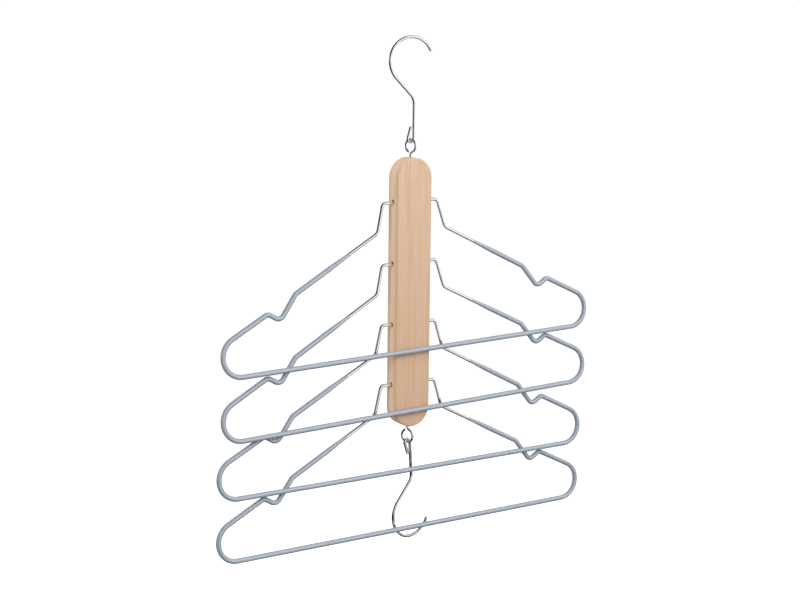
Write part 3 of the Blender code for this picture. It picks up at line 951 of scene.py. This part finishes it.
def beech_finish():
    """Oiled beech with grain and darker end grain; painted light on the sides, painted shade on edges
    and lower down.
    """
    material, tree, shader = new_finish("oiled_beech", {})
    grain = grouped(tree, GRAIN, BEECH_GRAIN)
    place = put(tree, "ShaderNodeTexCoord").outputs
    position = put(tree, "ShaderNodeSeparateXYZ", {0: place["Object"]}).outputs
    facing = put(tree, "ShaderNodeSeparateXYZ", {0: place["Normal"]}).outputs
    side, front, end = (calculated(tree, "POWER", facing[axis], 2.0) for axis in "XYZ")
    away = calculated(tree, "SUBTRACT", 1.0, front)
    edge = calculated(tree, "MULTIPLY", front, side)
    rim_shade = calculated(tree, "MULTIPLY", away, front)
    depth = calculated(tree, "ABSOLUTE", position["Y"])
    # Painted shade on the narrow sides, beside the front and back edges
    near_edge_shade = calculated(tree, "MULTIPLY", ranged(tree, depth, *NEAR_EDGE_SHADE_SHARE), side)
    # Painted shade: darker towards the bottom, as if lit from above
    low = ranged(tree, position["Z"], BAR_BOTTOM_Z, BAR_TOP_Z, 1.0, 0.0)
    colour = mixed(tree, low, srgb(BEECH_LIT_TOP), srgb(BEECH_SHADED_BOTTOM))
    tints = (
        (ranged(tree, grain["Fibres"], *FIBRE_SHARE), BEECH_FIBRE),
        (ranged(tree, grain["Streaks"], *STREAK_SHARE), BEECH_STREAK),
        (ranged(tree, grain["Bands"], *BAND_SHARE), BEECH_BAND),
        (calculated(tree, "MULTIPLY", grain["Flecks"], FLECK_SHARE), BEECH_FLECK),
        # Painted light on the narrow sides
        (ranged(tree, away, *SIDE_LIGHT_SHARE), BEECH_PAINTED_SIDE_LIGHT),
        (ranged(tree, end, *END_SHARE), BEECH_END_GRAIN_AND_RIM_SHADE),
        # Painted shade along the rounded long edges
        (ranged(tree, edge, *EDGE_SHADE_SHARE), BEECH_PAINTED_EDGE_SHADE),
        # Painted shade along the rounded rims of the front and back faces
        (ranged(tree, rim_shade, *RIM_SHADE_SHARE), BEECH_END_GRAIN_AND_RIM_SHADE),
        (near_edge_shade, BEECH_PAINTED_NEAR_EDGE_SHADE),
    )
    for share, tint in tints:
        colour = mixed(tree, share, colour, srgb(tint))
    roughness = ranged(tree, grain["Fibres"], *BEECH_ROUGHNESS)
    dressed(tree, shader, {"Base Color": colour, "Roughness": roughness}, grain["Height"], BEECH_BUMP)
    return material


def drilled_finish():
    """Bare drilled wood, darker than the oiled bar."""
    material, tree, shader = new_finish("drilled_beech", {"Roughness": HOLE_ROUGHNESS})
    uneven = grouped(tree, UNEVENNESS, HOLE_UNEVEN)
    colour = mixed(tree, uneven["Specks"], srgb(HOLE_LIGHT), srgb(HOLE_DARK))
    dressed(tree, shader, {"Base Color": colour}, uneven["Height"], HOLE_BUMP)
    return material


def chrome_finish():
    """Polished chrome with faint blotches and specks."""
    material, tree, shader = new_finish("bright_chrome", {"Metallic": 1.0})
    uneven = grouped(tree, UNEVENNESS, CHROME_UNEVEN)
    colour = mixed(tree, uneven["Blotches"], CHROME_DULL, CHROME_BRIGHT)
    roughness = ranged(tree, uneven["Specks"], *CHROME_ROUGHNESS)
    dressed(tree, shader, {"Base Color": colour, "Roughness": roughness}, uneven["Height"], CHROME_BUMP)
    return material


def coat_finish():
    """Satin blue-grey plastic that lets the metal through where it thins out."""
    material, tree, shader = new_finish("blue_grey_dip", DIP_GLOSS)
    uneven = grouped(tree, UNEVENNESS, DIP_UNEVEN)
    cover = put(tree, "ShaderNodeAttribute", attribute_name="cover").outputs["Fac"]
    fullness = ranged(tree, cover, *DIP_FULLNESS)
    full = mixed(tree, uneven["Blotches"], srgb(DIP_DARK), srgb(DIP_LIGHT))
    sockets = {
        "Base Color": mixed(tree, fullness, srgb(DIP_THIN), full),
        "Metallic": ranged(tree, fullness, *DIP_METAL),
        "Roughness": ranged(tree, uneven["Specks"], *DIP_ROUGHNESS),
    }
    dressed(tree, shader, sockets, uneven["Height"], DIP_BUMP)
    return material


# Assembly


def add_piece(name, mesh, place, body, slot, *nodes):
    """A finished piece: its mesh copied to its place, riding on its body in place of its nodes."""
    mesh = mesh.copy()
    mesh.name = name
    mesh.transform(place)
    piece = new_object(name, mesh)
    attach(piece, body)
    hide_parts(*nodes)


def placed(height, turn=(0, 0, 0)):
    """The place at a height on the Z axis, turned about X, Y and Z."""
    return Matrix.Translation((0, 0, height)) @ Euler(turn).to_matrix().to_4x4()


def rail_forwards():
    """How far in front of the pivots each bottom rail hangs, from the top hanger to the lowest."""
    hook_front = HOOK_BOWL_RADIUS * sin(radians(LOWER_HOOK_TURN)) + HOOK_WIRE_RADIUS
    forwards = [hook_front + REST_CLEARANCE + COAT_RADIUS]
    for index in reversed(range(HANGER_COUNT - 1)):
        below = forwards[0] * (RAIL_DROP - HANGER_PITCH) / RAIL_DROP
        forward = below + 2 * COAT_RADIUS + REST_CLEARANCE
        if hanger_pivot_z(index) - RAIL_DROP > BAR_BOTTOM_Z:
            forward = max(forward, BAR_THICKNESS / 2 + COAT_RADIUS + REST_CLEARANCE)
        forwards.insert(0, forward)
    return forwards


photo_camera()
white_world()
white_floor()
for lamp in LAMPS:
    soft_light(*lamp)
shades = {shade: screen_finish(f"{shade}_screen", brightness) for shade, brightness in SHADES.items()}
for name, shade, start, end, profile in SCREENS:
    dark_screen(name, shades[shade], start, end, profile)

WIRE_TREE = wire_tree()
UNEVENNESS = fine_unevenness()
GRAIN = beech_grain()
beech = beech_finish()
drilled = drilled_finish()
chrome = chrome_finish()
dip = coat_finish()

hook = hook_line()
hook_mesh = wire_mesh("hook", cut_ends(filled(hook)), HOOK_WIRE_RADIUS, chrome)
top_place = placed(TOP_LINK_Z, (0, 0, radians(TOP_HOOK_TURN)))
add_piece("chromed_top_hook", hook_mesh, top_place, "hanging_hook", "chrome_wire", "top_hook")
lower_place = placed(LOWER_LINK_Z, (pi, plumb_lean(hook), radians(LOWER_HOOK_TURN)))
add_piece("chromed_lower_hook", hook_mesh, lower_place, "linked_hook", "chrome_wire", "lower_hook")

thread = {"thread_pitch": THREAD_PITCH, "thread_depth": THREAD_DEPTH, "thread_length": THREAD_LENGTH}
eye_mesh = wire_mesh("screw_eye", screw_eye_line(), EYE_FULL_RADIUS, chrome, **thread)
top_place = placed(BAR_TOP_Z, (0, 0, radians(TOP_EYE_TURN)))
add_piece("threaded_top_eye", eye_mesh, top_place, "bar", "chrome_wire", "top_screw_eye")
lower_place = placed(BAR_BOTTOM_Z, (pi, 0, radians(LOWER_EYE_TURN)))
add_piece("threaded_lower_eye", eye_mesh, lower_place, "bar", "chrome_wire", "lower_screw_eye")

add_piece("beech_bar", drilled_bar(beech, drilled), Matrix.Identity(4), "bar", "beech", "wooden_bar")

hanger_mesh = wire_mesh("hanger_wire", cut_ends(hanger_line()), WIRE_RADIUS, chrome)
coat_mesh = sleeve_mesh("hanger_coat", *coat_line(), dip)
play = asin(HOLE_CLEARANCE / BAR_HALF_WIDTH)
for index, forward in enumerate(rail_forwards()):
    tilt = Euler((-asin(forward / RAIL_DROP), 0, 0)).to_matrix().to_4x4()
    tip = Euler((0, -play * HANGER_TIP_SHARES[index], 0)).to_matrix().to_4x4()
    place = placed(hanger_pivot_z(index)) @ tilt @ tip
    number = index + 1
    body = f"hanger_{number}"
    add_piece(f"bent_wire_{number}", hanger_mesh, place, body, "chrome_wire", f"hanger_wire_{number}")
    add_piece(f"dip_coat_{number}", coat_mesh, place, body, "dipped_coat", f"hanger_coat_{number}")
